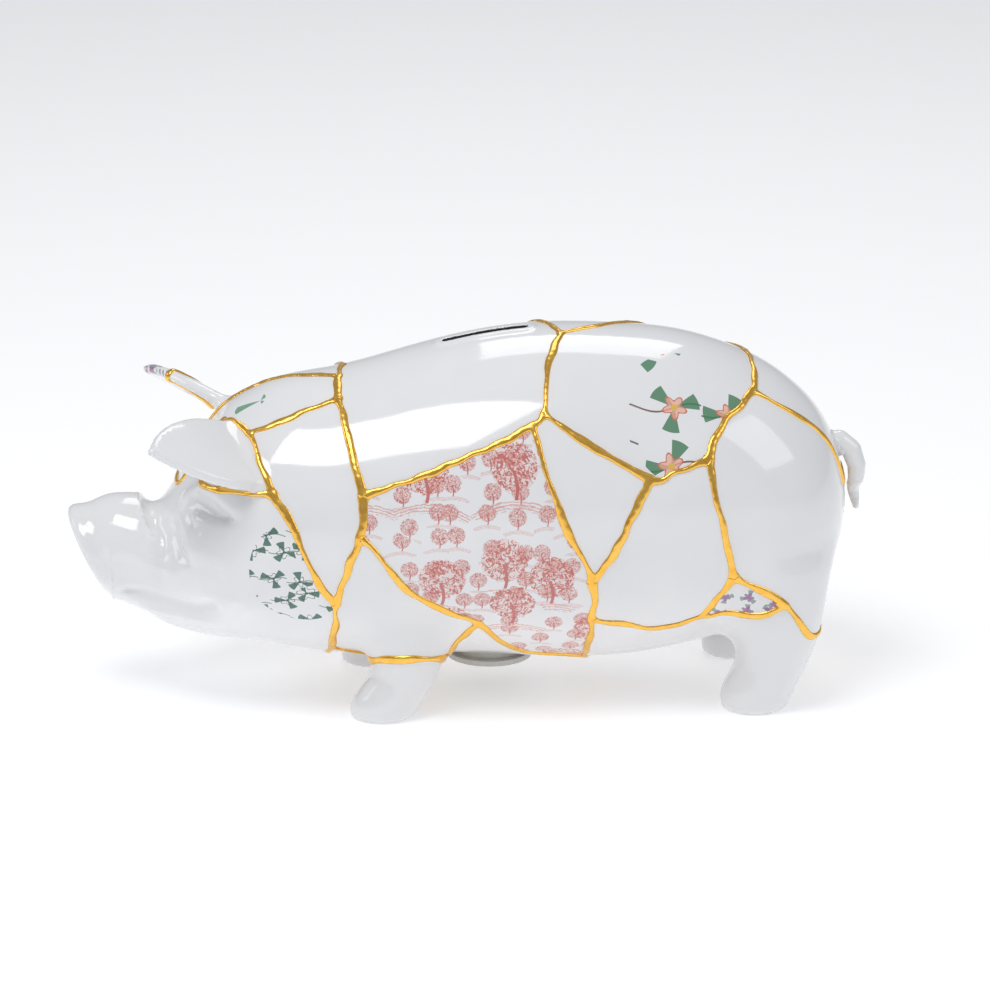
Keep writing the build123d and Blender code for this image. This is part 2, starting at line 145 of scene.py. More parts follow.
def barrel(p):
    """Elliptical sections along X; the value is divided by its slope to give a distance."""
    def inside(x):
        tall = np.maximum(tall_squared(x), 1e-3)
        wide = np.maximum(wide_squared(x), 1e-3)
        up = p[:, 2] - axis_height(x)
        radius = np.sqrt(p[:, 1] ** 2 / wide + up ** 2 / tall) + 1e-9
        return radius - 1, np.sqrt((p[:, 1] / wide) ** 2 + (up / tall) ** 2) / radius
    x = np.clip(p[:, 0], -152, 160.6)
    value, across = inside(x)
    along = (inside(x + 0.5)[0] - inside(x - 0.5)[0])
    side = value / np.sqrt(across ** 2 + np.minimum(along ** 2, 4 * across ** 2) + 1e-9)
    return np.maximum(side, np.maximum(BARREL[0, 0] - p[:, 0], p[:, 0] - BARREL[-1, 0]))


def leg(p, sections, side):
    """Level ellipses from the sole upwards, rounded at the sole."""
    x, apart, long, wide = sections(p[:, 2]).T
    dx, dy = (p[:, 0] - x) / long, (p[:, 1] - side * apart) / wide
    radius = np.sqrt(dx ** 2 + dy ** 2) + 1e-9
    wall = (radius - 1) * radius / np.sqrt((dx / long) ** 2 + (dy / wide) ** 2 + 1e-12)
    top = sections.top - p[:, 2]
    return melt_up(melt_up(wall, -top, 8.0), -p[:, 2], 3.0)


EAR_ROOT, EAR_TIP = np.array((-95, -31, 114.0)), np.array((-133, -63, 128.0))
EAR_EDGE = np.array((0.38, -0.78, -0.50))


def ear_frame(side):
    """Root of an ear, and its directions: out to the tip, along the width, off the face."""
    flip = np.array((1, -side, 1))
    out = (EAR_TIP - EAR_ROOT) * flip
    out = out / np.linalg.norm(out)
    off = np.cross(out, EAR_EDGE * flip)
    off = off / np.linalg.norm(off) * -side
    return EAR_ROOT * flip, out, np.cross(off, out) * side, off


def ear(p, side):
    """A leaf, cupped across its width and drawn to a rounded tip."""
    root, out, along, off = ear_frame(side)
    length = np.linalg.norm(EAR_TIP - EAR_ROOT)
    q = p - root
    u, v, w = q @ out, q @ along, q @ off
    share = np.clip((u + 12) / (length + 12), 0, 1)
    half = 23.5 * np.sin(np.pi * np.clip(0.30 + 0.70 * share, 0, 1)) ** 0.72 * (0.80 + 0.2 * share)
    thick = 2.9 - 0.9 * share
    cup = w - 1.5 + 0.0042 * v ** 2 + 0.0022 * np.maximum(u - 10, 0) ** 2
    over = np.maximum(np.abs(v) - np.maximum(half - thick, 0), 0)
    past = np.maximum(u - (length - thick), 0) * 0.6 + np.maximum(-12 - u, 0)
    return np.sqrt(over ** 2 + cup ** 2 + past ** 2) - thick


def tube(p, points, radii):
    """Distance from a chain of round rods, each with its own pair of end radii."""
    best = np.full(len(p), 1e3)
    for a, b, r0, r1 in zip(points, points[1:], radii, radii[1:]):
        line = b - a
        t = np.clip((p - a) @ line / (line @ line), 0, 1)
        best = np.minimum(best, np.linalg.norm(p - a - t[:, None] * line, axis=1) - (r0 + (r1 - r0) * t))
    return best


print("a point in the middle of the barrel:", round(float(barrel(np.array([(0, 0, 85.0)]))[0]), 1), "mm")

# %% [markdown]
# ## The face
#
# The modeller's wrinkles are drawn as lines in space.  A groove is a rod of very soft
# edge taken out of the skin; a swelling is one laid on.

# %% Folds, swellings and the whole skin
# each: depth in mm (negative swells), width in mm, points (x, distance from the middle, height)
FOLDS = [
    (1.7, 2.4, [(-147, 14, 53), (-139, 21, 52), (-129, 28, 50), (-118, 36, 49), (-110, 42, 52)]),  # mouth
    (1.3, 2.6, [(-110, 42, 53), (-108, 42, 46), (-110, 39, 40)]),  # its corner
    (-2.2, 6.0, [(-136, 21, 44), (-124, 31, 41), (-113, 36, 40)]),  # lower lip
    (-2.4, 7.5, [(-130, 27, 63), (-122, 34, 60), (-114, 41, 60)]),  # upper lip
    (1.5, 2.6, [(-127, 22, 84), (-124, 28, 78), (-121, 34, 72), (-113, 41, 69), (-106, 46, 70)]),  # cheek
    (2.3, 4.2, [(-116, 31, 95), (-109, 38, 93), (-102, 43, 91)]),  # eye socket
    (-2.3, 4.4, [(-122, 24, 95), (-115, 31, 101), (-106, 39, 101), (-99, 45, 97)]),  # brow
    (-1.5, 2.6, [(-115, 35, 89), (-108, 40, 87), (-101, 45, 87)]),  # lower lid
    (0.9, 1.4, [(-114, 34, 92), (-107, 40, 90), (-101, 45, 91)]),  # closed eye
    (0.9, 1.8, [(-119, 30, 88), (-115, 35, 84), (-108, 41, 83)]),  # under the eye
    (1.6, 4.0, [(-133, 16, 80), (-129, 21, 77), (-128, 25, 70), (-130, 26, 62)]),  # root of the snout
    (-3.4, 12.0, [(-112, 40, 74), (-104, 46, 66), (-100, 48, 56)]),  # cheek
    (1.0, 3.0, [(-97, 33, 33), (-101, 42, 43), (-100, 47, 52)]),  # jaw fold
]
TAIL = np.array([(146, 0, 97), (153, 0, 104.5), (159, -1.5, 106.6), (164, -3, 103), (166.3, -3.4, 96.5),
                 (166.4, -2.6, 90.3), (165.8, 0.6, 87), (166, 3.2, 84), (166.6, 3, 80), (167, 1, 76.5)])
TAIL_RADII = [5.2, 4.9, 4.6, 4.3, 4.0, 3.5, 3.0, 2.7, 2.2, 1.3]


DISC_MIDDLE, DISC_TILT = np.array((-161.5, 0, 65.5)), 25


def disc_frame():
    """Middle of the snout's disc, the way it faces, and its own upwards."""
    tilt = np.radians(DISC_TILT)
    ahead = np.array((-np.cos(tilt), 0, -np.sin(tilt)))
    return DISC_MIDDLE, ahead, np.array((-np.sin(tilt), 0, np.cos(tilt)))


def snout(p):
    """A waisted tube from the cheeks to a tilted disc with a soft rim and two nostrils."""
    middle, ahead, up = disc_frame()
    q = p - middle
    s, h, y = q @ ahead, q @ up, p[:, 1]
    h = h + 0.010 * np.maximum(-s, 0) ** 2
    waist = np.exp(-((s + 9) / 7.0) ** 2)
    tall, wide = 20.3 - 2.2 * waist, 20.8 - 2.4 * waist
    radius = np.sqrt((h / tall) ** 2 + (y / wide) ** 2) + 1e-9
    wall = (radius - 1) * 0.5 * (tall + wide)
    dish = 0.9 * np.exp(-(radius / 0.62) ** 2)
    solid = melt_up(wall, s + dish - 0.6, 5.0)
    for side in (-1, 1):
        hole = np.sqrt(((y - side * 7.6) / 3.1) ** 2 + ((h - 1.0) / 4.4) ** 2 + (s / 3.6) ** 2)
        solid = carve(solid, (hole - 1) * 3.2, 1.6)
    return np.maximum(solid, -s - 30)


SLOT_LENGTH, SLOT_WIDTH = 37.0, 4.6
SLOT_MIDDLE = np.array((8.0, 0, axis_height(8.0) + np.sqrt(tall_squared(8.0))))
SLOT_ALONG = np.array((0.9925, 0, 0.122))
SLOT_UP = np.array((-0.122, 0, 0.9925))


def slot_distance(p):
    """Distance in the back's tangent plane from the coin slot's outline, and height over it."""
    q = p - SLOT_MIDDLE
    u, v, w = q @ SLOT_ALONG, q[:, 1], q @ SLOT_UP
    straight = SLOT_LENGTH / 2 - SLOT_WIDTH / 2
    return np.hypot(np.maximum(np.abs(u) - straight, 0), v) - SLOT_WIDTH / 2, w


def skin(p):
    """Distance from the whole animal's surface."""
    d = melt(barrel(p), snout(p), 9.0)
    for side in (-1, 1):
        d = melt(d, leg(p, front_leg, side), 9.0)
        d = melt(d, leg(p, rear_leg, side), 12.0)
    for depth, width, points in FOLDS:
        for side in (-1, 1):
            line = np.array(points, float) * (1, side, 1)
            near = np.all((p > line.min(0) - 3 * width) & (p < line.max(0) + 3 * width), axis=1)
            if near.any():
                away = tube(p[near], line, np.zeros(len(line)))
                d[near] += depth * np.exp(-(away / width) ** 2)
    for side in (-1, 1):
        d = melt(d, ear(p, side), 5.0)
    d = melt(d, tube(p, TAIL[:4], TAIL_RADII[:4]), 2.2)
    d = np.minimum(d, tube(p, TAIL[3:], TAIL_RADII[3:]))
    away, over = slot_distance(p)
    near_top = np.abs(over) < 12
    rim = np.exp(-((away - 1.6) / 1.7) ** 2) + 0.55 * (away < 1.6) * (away > 0)
    d = d - np.where(near_top, 0.9 * np.minimum(rim, 1), 0)
    return d


def slope(field, p, step=0.25):
    """Gradient of a distance function by central differences."""
    g = np.empty_like(p)
    for i in range(3):
        move = np.zeros(3)
        move[i] = step
        g[:, i] = (field(p + move) - field(p - move)) / (2 * step)
    return g


def settle(field, p, rounds=4):
    """Newton steps that bring points onto the zero surface, and the normals there."""
    for _ in range(rounds):
        g = slope(field, p)
        p = p - g * (field(p) / np.maximum((g * g).sum(1), 0.2))[:, None]
    g = slope(field, p)
    return p, g / np.maximum(np.linalg.norm(g, axis=1), 1e-9)[:, None]


def surface_net(field, low, high, step):
    """Quads round a distance function's zero, one vertex in each grid cell that the surface crosses."""
    ticks = [np.arange(a, b + step, step) for a, b in zip(low, high)]
    shape = [len(t) for t in ticks]
    value = np.empty(shape)
    for i, x in enumerate(ticks[0]):
        y, z = np.meshgrid(ticks[1], ticks[2], indexing="ij")
        value[i] = field(np.stack([np.full(y.size, x), y.ravel(), z.ravel()], 1)).reshape(y.shape)
    cells = [n - 1 for n in shape]
    total, count = np.zeros(cells + [3]), np.zeros(cells)
    corners = [(i, j, k) for i in (0, 1) for j in (0, 1) for k in (0, 1)]

    def at(c):
        return value[c[0]:c[0] + cells[0], c[1]:c[1] + cells[1], c[2]:c[2] + cells[2]]
    for a in corners:
        for axis in range(3):
            if a[axis] == 0:
                b = tuple(c + (n == axis) for n, c in enumerate(a))
                va, vb = at(a), at(b)
                cross = (va < 0) != (vb < 0)
                t = np.where(cross, va / np.where(cross, va - vb, 1), 0)
                place = np.stack([np.full(t.shape, float(c)) for c in a], -1)
                place[..., axis] = t
                total[cross] += place[cross]
                count += cross
    used = count > 0
    number = np.full(cells, -1)
    number[used] = np.arange(used.sum())
    where = np.argwhere(used)
    points = (where + total[used] / count[used][:, None]) * step + np.array(low)
    quads = []
    inside = value < 0
    for axis in range(3):
        one, two = [n for n in range(3) if n != axis]
        a = [slice(1, -1)] * 3
        b = [slice(1, -1)] * 3
        a[axis], b[axis] = slice(0, -1), slice(1, None)
        start, end = inside[tuple(a)], inside[tuple(b)]
        for flip in (False, True):
            found = np.argwhere((start & ~end) if not flip else (~start & end))
            cell = found + 1
            cell[:, axis] -= 1
            ring = []
            for da, db in ((-1, -1), (0, -1), (0, 0), (-1, 0)):
                c = cell.copy()
                c[:, one] += da
                c[:, two] += db
                ring.append(number[c[:, 0], c[:, 1], c[:, 2]])
            quad = np.stack(ring, 1)
            quads.append(quad if (axis != 1) != flip else quad[:, ::-1])
    return points, np.concatenate(quads)


def halve(points, quads):
    """Triangles from quads, cut along the shorter diagonal."""
    a, b, c, d = quads.T
    short = np.linalg.norm(points[a] - points[c], axis=1) < np.linalg.norm(points[b] - points[d], axis=1)
    first = np.where(short[:, None], np.stack([a, b, c], 1), np.stack([a, b, d], 1))
    second = np.where(short[:, None], np.stack([a, c, d], 1), np.stack([b, c, d], 1))
    return np.concatenate([first, second])


print("folds:", len(FOLDS), "on each side; height of the coin slot:", SLOT_MIDDLE[2].round(1), "mm")

# %% [markdown]
# ## The cracks
#
# A crack runs from knot to knot.  A knot is a place on the barrel, written as its
# distance along the body and the angle round it: 0 on the back, 90 on the left flank,
# 180 under the belly, negative on the right.

# %% The network of cracks
KNOTS = {
    # round the left ear and across the forehead
    "ear_top": (-103, 12), "ear_nape": (-93, 33), "ear_low": (-84, 66),
    "ear_front_low": (-103, 58), "ear_front": (-113, 42), "ear_front_top": (-113, 20),
    "brow_left": (-122, 12), "brow_right": (-121, -18),
    # cheek and throat
    "cheek_1": (-79, 74), "cheek_2": (-74, 84), "cheek_3": (-66, 103), "jowl": (-58, 114),
    "throat": (-59, 147), "throat_mid": (-61, 178), "throat_right": (-58, -146),
    # crown and collar
    "nape_1": (-78, 32), "crown_1": (-106, -14), "crown_2": (-93, -10), "crown_3": (-80, -6),
    "collar_top": (-52, -7), "collar_crown": (-54, 7), "collar_nape": (-55, 24),
    "collar_1": (-53, 39), "collar_side": (-47, 69), "collar_low": (-48, 85), "collar_2": (-52, 95),
    # left shoulder and side
    "side_1": (-42, 90), "side_2": (-34, 101), "side_3": (-27, 110), "side_4": (-10, 121),
    "side_low": (1, 127), "belly_1": (20, 149), "belly_2": (34, 153), "belly_left": (48, 157),
    "chest_left": (-43, 157), "leg_in_left": (-28, 163), "leg_back_left": (-12, 158),
    "arm_left": (-7, 140),
    # saddle, wedge and back
    "saddle_1": (-30, 66), "saddle_2": (-4, 61), "saddle_low": (24, 52), "saddle_corner": (29, 48),
    "saddle_3": (33, 24), "saddle_top": (39, 8), "saddle_right": (34, -6),
    "flank_1": (32, 77), "flank_2": (38, 89), "flank_top": (48, 107), "flank_low": (49, 124),
    "wedge_1": (58, 94), "wedge_back": (72, 71), "wedge_2": (43, 57), "back_1": (84, 68),
    "rump_left": (97, 64),
    "back_2": (102, 52), "back_rear": (118, 30), "back_3": (120, 15), "back_end": (119, -7),
    "back_top": (55, 0), "back_4": (71, -14), "back_right": (87, -36), "back_5": (104, -31),
    "back_6": (114, -22),
    # rump and tail
    "tail_1": (129, 32), "tail_2": (141, 33), "tail_left": (152, 34), "tail_3": (159, 55),
    "tail_under": (160, 2),
    "tail_4": (159, -55), "tail_right": (151, -35), "tail_5": (134, -30),
    "rump_1": (99, 74), "rump_2": (103, 90), "hock_top": (108, 110), "hock_front": (97, 129),
    "hock_1": (108, 127), "hock_2": (119, 126), "hock_back": (130, 122), "hock_3": (120, 116),
    "rear_left": (145, 140), "rear_low": (152, 180), "rear_mid": (160, 178),
    "haunch_1": (61, 127), "haunch_2": (78, 132),
    # right side
    "ear_low_right": (-85, -68), "ear_front_low_right": (-104, -58), "ear_front_right": (-113, -42),
    "cheek_4": (-79, -82), "cheek_5": (-72, -96), "jowl_right": (-62, -110),
    "collar_3": (-53, -28), "collar_right": (-49, -50), "collar_low_right": (-44, -74),
    "collar_4": (-52, -94),
    "neck_1": (-68, -60), "side_5": (-25, -86), "side_6": (-4, -100), "side_low_right": (14, -118),
    "arm_right": (18, -138), "belly_3": (4, -148), "leg_back_right": (-12, -158),
    "leg_in_right": (-28, -163),
    "chest_right": (-43, -157), "saddle_4": (-22, -57), "saddle_low_right": (8, -50),
    "saddle_5": (25, -34),
    "flank_3": (27, -62), "flank_top_right": (44, -73), "flank_4": (40, -92),
    "flank_low_right": (33, -107),
    "belly_4": (33, -148), "belly_right": (46, -154), "belly_mid": (52, 180),
    "rump_3": (85, -52), "rump_right": (83, -70), "rump_4": (90, -90), "hock_right": (94, -110),
    "flank_5": (61, -127), "haunch_3": (112, -115), "haunch_right": (130, -122),
    "rear_right": (145, -140),
    "belly_5": (82, 175), "belly_6": (116, 180), "belly_front": (-27, 179),
}
CRACKS = {
    "gold_seam_collar": [
        "collar_top collar_crown collar_nape collar_1 collar_side collar_low collar_2 jowl",
        "collar_top collar_3 collar_right collar_low_right collar_4 jowl_right",
        "jowl throat throat_mid throat_right jowl_right",
    ],
    "gold_seam_head": [
        "ear_top ear_nape ear_low cheek_1 cheek_2 cheek_3 jowl",
        "ear_top ear_front_top ear_front ear_front_low ear_low",
        "ear_front_top brow_left brow_right ear_front_right ear_front_low_right ear_low_right",
        "ear_low_right cheek_4 cheek_5 jowl_right",
        "brow_right crown_1 crown_2 crown_3 collar_crown",
        "ear_nape nape_1 collar_nape",
        "ear_low_right neck_1 collar_right",
    ],
    "gold_seam_left_side": [
        "collar_side saddle_1 saddle_2 saddle_low saddle_corner",
        "collar_low side_1 side_2 side_3 side_4 side_low belly_1 belly_2 belly_left",
        "side_low arm_left leg_back_left",
        "saddle_low flank_1 flank_2 flank_top flank_low belly_left",
    ],
    "gold_seam_back": [
        "saddle_corner saddle_3 saddle_top saddle_right",
        "saddle_top back_top back_4 back_right",
        "saddle_corner wedge_2 wedge_back back_1 rump_left",
        "wedge_back wedge_1 flank_top",
        "rump_left back_2 back_rear back_3 back_end",
        "back_end back_6 back_5 back_right",
    ],
    "gold_seam_rump": [
        "back_rear tail_1 tail_2 tail_left tail_3 tail_under tail_4 tail_right tail_5 back_6",
        "rump_left rump_1 rump_2 hock_top",
        "tail_under rear_mid rear_low",
    ],
    "gold_seam_left_haunch": [
        "hock_top hock_front hock_1 hock_2 hock_back",
        "hock_top hock_3 hock_back rear_left rear_low",
        "flank_low haunch_1 haunch_2 hock_front",
    ],
    "gold_seam_right_side": [
        "saddle_right saddle_5 saddle_low_right saddle_4 collar_right",
        "collar_low_right side_5 side_6 side_low_right arm_right belly_3 leg_back_right",
        "saddle_low_right flank_3 flank_top_right flank_4 flank_low_right side_low_right",
        "flank_top_right rump_right",
        "back_right rump_3 rump_right rump_4 hock_right",
        "flank_low_right flank_5 hock_right",
    ],
    "gold_seam_right_haunch": [
        "hock_right haunch_3 haunch_right rear_right rear_low",
        "flank_5 belly_right",
    ],
    "gold_seam_belly": [
        "throat chest_left leg_in_left leg_back_left",
        "throat_right chest_right leg_in_right leg_back_right",
        "leg_in_left belly_front leg_in_right",
        "arm_right belly_4 belly_right belly_mid belly_left",
        "belly_mid belly_5 belly_6 rear_low",
    ],
}
SEAM_HALF = 1.45       # half the usual width of a gold seam
SEAM_RISE = 0.95       # its height over the glaze
SHARD_BACK = 0.9       # how far a shard's edge lies from the middle of its crack
SPACING = 1.6          # between the points of a crack's line


def first_exit(knot):
    """Where a ray from the barrel's axis first leaves the skin."""
    x, angle = knot
    angle = np.radians(angle)
    axis = np.array((x, 0, float(axis_height(x))))
    reach = np.array((0, -np.sqrt(max(wide_squared(x), 9)) * np.sin(angle),
                      np.sqrt(max(tall_squared(x), 9)) * np.cos(angle)))
    steps = np.linspace(0.75, 1.7, 96)
    outside = skin(axis + steps[:, None] * reach) > 0
    return axis + steps[np.argmax(outside)] * reach


def crack_line(names):
    """Points along one crack: a Catmull-Rom curve through its knots, brought onto the skin."""
    knots = np.array([PLACES[name] for name in names])
    ends = np.concatenate([[2 * knots[0] - knots[1]], knots, [2 * knots[-1] - knots[-2]]])
    line = []
    for a, b, c, d in zip(ends, ends[1:], ends[2:], ends[3:]):
        t = np.linspace(0, 1, max(2, int(np.linalg.norm(c - b) / SPACING)), endpoint=False)[:, None]
        line.append(0.5 * (2 * b + (c - a) * t + (2 * a - 5 * b + 4 * c - d) * t ** 2
                           + (3 * b - a - 3 * c + d) * t ** 3))
    line = np.concatenate(line + [knots[-1:]])
    wander = (np.sin(line @ np.array((0.21, 0.16, 0.19)) * 1.3)
              * np.sin(line @ np.array((0.09, -0.14, 0.11)) * 1.7))
    along = np.gradient(line, axis=0)
    line, normal = settle(skin, line, 4)
    side = np.cross(normal, along)
    side /= np.maximum(np.linalg.norm(side, axis=1), 1e-6)[:, None]
    fade = np.minimum(np.arange(len(line)), np.arange(len(line))[::-1]) / 5.0
    line = line + side * (0.55 * wander * np.clip(fade, 0, 1))[:, None]
    return settle(skin, line, 2)[0]


def leg_ring(sections, height, side, tilt=19.0):
    """Middle and normal of the plane of a seam round a leg, and how far it may reach."""
    x, apart, long, _ = sections(np.array(float(height)))
    tilt = np.radians(tilt)
    return np.array((x, side * apart, height)), np.array((0, -side * np.sin(tilt), np.cos(tilt))), long + 9


def ear_ring(side, share=0.52, tilt=12.0):
    """The same for a seam across an ear."""
    root, out, along, _ = ear_frame(side)
    tilt = np.radians(tilt)
    return (root + out * share * np.linalg.norm(EAR_TIP - EAR_ROOT),
            out * np.cos(tilt) - along * np.sin(tilt), 34.0)


PLACES = {name: first_exit(knot) for name, knot in KNOTS.items()}
LINES = [(seam, crack_line(chain.split())) for seam, chains in CRACKS.items() for chain in chains]
RINGS = {
    "gold_seam_right_ear": ear_ring(1),
    "gold_seam_front_left_leg": leg_ring(front_leg, 24.5, -1),
    "gold_seam_front_right_leg": leg_ring(front_leg, 24.5, 1),
    "gold_seam_rear_right_leg": leg_ring(rear_leg, 26.0, 1),
}
SEAMS = list(CRACKS) + list(RINGS)
print("cracks:", len(LINES), "lines,", round(sum(len(line) for _, line in LINES) * SPACING), "mm, and",
      len(RINGS), "rings")


def crack_distance(p, reach=9.0, pull=0.75):
    """Distance of points from the nearest crack, pulled in where cracks meet, and which seam that is."""
    total, best = np.zeros(len(p)), np.full(len(p), 99.0)
    seam_of = np.zeros(len(p), int)
    for seam, line in LINES:
        near = np.flatnonzero(np.all((p > line.min(0) - reach) & (p < line.max(0) + reach), axis=1))
        if len(near) == 0:
            continue
        away = tube(p[near], line, np.zeros(len(line)))
        total[near] += np.exp(-away / pull)
        closer = away < best[near]
        best[near[closer]] = away[closer]
        seam_of[near[closer]] = SEAMS.index(seam)
    for seam, (middle, normal, room) in RINGS.items():
        q = p - middle
        near = np.flatnonzero(np.linalg.norm(q, axis=1) < room)
        away = np.abs(q[near] @ normal)
        total[near] += np.exp(-away / pull)
        closer = away < best[near]
        best[near[closer]] = away[closer]
        seam_of[near[closer]] = SEAMS.index(seam)
    soft = np.where(total > 0, -pull * np.log(np.maximum(total, 1e-30)), 99.0)
    return np.where(best < 8, soft, best), seam_of

# %% [markdown]
# ## Cutting the skin
#
# The skin is a mesh of triangles.  To cut it, every triangle that a cut crosses is
# split where the distance to the crack has the wanted value, so the edge comes out
# smooth however coarse the mesh is.

# %% Cutting, splitting and thickening
def clip(points, triangles, value):
    """Keeps the part of a mesh where value is above zero, with new points along the cut."""
    keep = value > 0
    count = keep[triangles].sum(1)
    whole = triangles[count == 3]
    edge_table, made = {}, []

    def cut(a, b):
        key = (a, b) if a < b else (b, a)
        if key not in edge_table:
            t = value[key[0]] / (value[key[0]] - value[key[1]])
            edge_table[key] = len(points) + len(made)
            made.append(points[key[0]] * (1 - t) + points[key[1]] * t)
        return edge_table[key]
    extra = []
    for tri in triangles[(count == 1) | (count == 2)]:
        k = keep[tri]
        turn = int(np.argmax(k)) if k.sum() == 1 else (int(np.argmin(k)) + 1) % 3
        a, b, c = (int(v) for v in np.roll(tri, -turn))
        if k.sum() == 1:
            extra.append((a, cut(a, b), cut(a, c)))
        else:
            ca, cb = cut(a, c), cut(b, c)
            extra.append((a, b, cb))
            extra.append((a, cb, ca))
    points = np.concatenate([points, np.array(made).reshape(-1, points.shape[1])])
    triangles = np.concatenate([whole, np.array(extra, int).reshape(-1, 3)])
    used, triangles = np.unique(triangles, return_inverse=True)
    return points[used], triangles.reshape(-1, 3)


def islands(count, triangles):
    """Number of the connected island that each point belongs to."""
    label = np.arange(count)
    while True:
        low = label[triangles].min(1)
        new = label.copy()
        for corner in range(3):
            np.minimum.at(new, triangles[:, corner], low)
        new = new[new]
        if np.array_equal(new, label):
            return np.unique(label, return_inverse=True)[1]
        label = new


def edges_of(triangles):
    """Directed edges: first all the first edges, then the second and third ones."""
    return np.concatenate([triangles[:, [0, 1]], triangles[:, [1, 2]], triangles[:, [2, 0]]])


def refine(points, triangles, marked):
    """Splits the marked triangles into four, and their neighbours so that no gap opens."""
    unique, number = np.unique(np.sort(edges_of(triangles), axis=1), axis=0, return_inverse=True)
    number = number.reshape(3, -1).T
    halved = np.zeros(len(unique), bool)
    halved[number[marked]] = True
    middle = np.cumsum(halved) - 1 + len(points)
    points = np.concatenate([points, points[unique[halved]].mean(1)])
    split = halved[number]
    kind = split.sum(1)
    pieces = [triangles[kind == 0]]
    for count in (1, 2, 3):
        rows = np.flatnonzero(kind == count)
        # turn each triangle so that its first edge is halved and, of two, the second as well
        first = {1: np.argmax(split[rows], 1), 2: (np.argmin(split[rows], 1) + 1) % 3,
                 3: np.zeros(len(rows), int)}[count]
        turn = (first[:, None] + np.arange(3)) % 3
        a, b, c = np.take_along_axis(triangles[rows], turn, 1).T
        ab, bc, ca = middle[np.take_along_axis(number[rows], turn, 1)].T
        new = {1: ((a, ab, c), (ab, b, c)), 2: ((ab, b, bc), (a, ab, bc), (a, bc, c)),
               3: ((a, ab, ca), (ab, b, bc), (ca, bc, c), (ab, bc, ca))}[count]
        pieces += [np.stack(t, 1) for t in new]
    return points, np.concatenate(pieces)


def rim_edges(triangles):
    """Directed edges that only one triangle uses."""
    edges = edges_of(triangles)
    _, first, count = np.unique(np.sort(edges, axis=1), axis=0, return_index=True, return_counts=True)
    return edges[first[count == 1]]


def make_piece(name, points, triangles, outward, thickness, lift=0.0):
    """A closed shell: the outer face, a copy of it moved inwards, and a rim between them."""
    outer = points + outward * np.broadcast_to(lift, len(points))[:, None]
    inner = points - outward * np.broadcast_to(thickness, len(points))[:, None]
    rim = rim_edges(triangles)
    n = len(points)
    rim_faces = np.concatenate([np.stack([rim[:, 1], rim[:, 0], rim[:, 0] + n], 1),
                                np.stack([rim[:, 1], rim[:, 0] + n, rim[:, 1] + n], 1)])
    faces = np.concatenate([triangles, triangles[:, ::-1] + n, rim_faces])
    mesh = bpy.data.meshes.new(name)
    mesh.from_pydata((np.concatenate([outer, inner]) * MM).tolist(), [], faces.tolist())
    mesh.polygons.foreach_set("use_smooth", np.ones(len(faces), bool))
    mesh.update()
    piece = bpy.data.objects.new(name, mesh)
    bpy.context.scene.collection.objects.link(piece)
    return piece, len(triangles), len(faces)


print("islands in two loose triangles:", islands(6, np.array([(0, 1, 2), (3, 4, 5)])).max() + 1)

# %% [markdown]
# ## From skin to shards
#
# The bare skin is meshed once, made finer beside the cracks, and cut along the middle
# of every crack.  What is left falls apart into islands, and each island is one shard.
# The same fine mesh, cut the other way round, gives the strips that the gold covers.

# %% Meshing the skin
STOPPER_X = float(np.array(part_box("stopper"))[:, 0].mean() / MM)
HOLE_R = 15.3          # the stopper's hole under the belly


def openings(p):
    """Distance from the coin slot or the stopper's hole, negative inside them."""
    slot, over = slot_distance(p)
    hole = np.hypot(p[:, 0] - STOPPER_X, p[:, 1]) - HOLE_R
    return np.minimum(np.where(np.abs(over) < 12, slot, 99), np.where(p[:, 2] < 40, hole, 99))


low, high = np.array(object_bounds()) / MM
points, quads = surface_net(skin, low - 6, high + 6, 2.0)
points, _ = settle(skin, points, 3)
triangles = halve(points, quads)
for band in (5.0, 2.6):
    away = np.minimum(crack_distance(points)[0], np.abs(openings(points)) + 0.8)
    points, triangles = refine(points, triangles, away[triangles].min(1) < band)
    points, normals = settle(skin, points, 2)
away, seam_of = crack_distance(points)
print("skin:", len(points), "points,", len(triangles), "triangles")

# %% Splitting the skin into shards
shard_points, shard_triangles = clip(points, triangles, np.minimum(away - SHARD_BACK, openings(points)))
shard_points, shard_normals = settle(skin, shard_points, 1)
island = islands(len(shard_points), shard_triangles)
print("islands:", island.max() + 1)

# %% [markdown]
# Every island is matched with the piece of the construction model whose box it fills,
# and stands for it from here on.

# %% One closed piece for each shard
SHARD_WALL = 1.9       # thinner than the pot's wall, so that thin ears stay closed
SMALLEST_ISLAND = 200  # points; anything smaller is a crumb between two cuts


def shade_from(piece, outward, outer_faces):
    """Gives the outer and inner faces the skin's own normals, so the glaze shines without a facet."""
    mesh = piece.data
    corner = np.empty(len(mesh.loops), int)
    mesh.loops.foreach_get("vertex_index", corner)
    loop_normals = np.concatenate([outward, -outward])[corner]
    flat = np.empty(len(mesh.polygons) * 3)
    mesh.polygons.foreach_get("normal", flat)
    loop_normals[2 * outer_faces * 3:] = np.repeat(flat.reshape(-1, 3)[2 * outer_faces:], 3, axis=0)
    mesh.normals_split_custom_set(loop_normals.tolist())


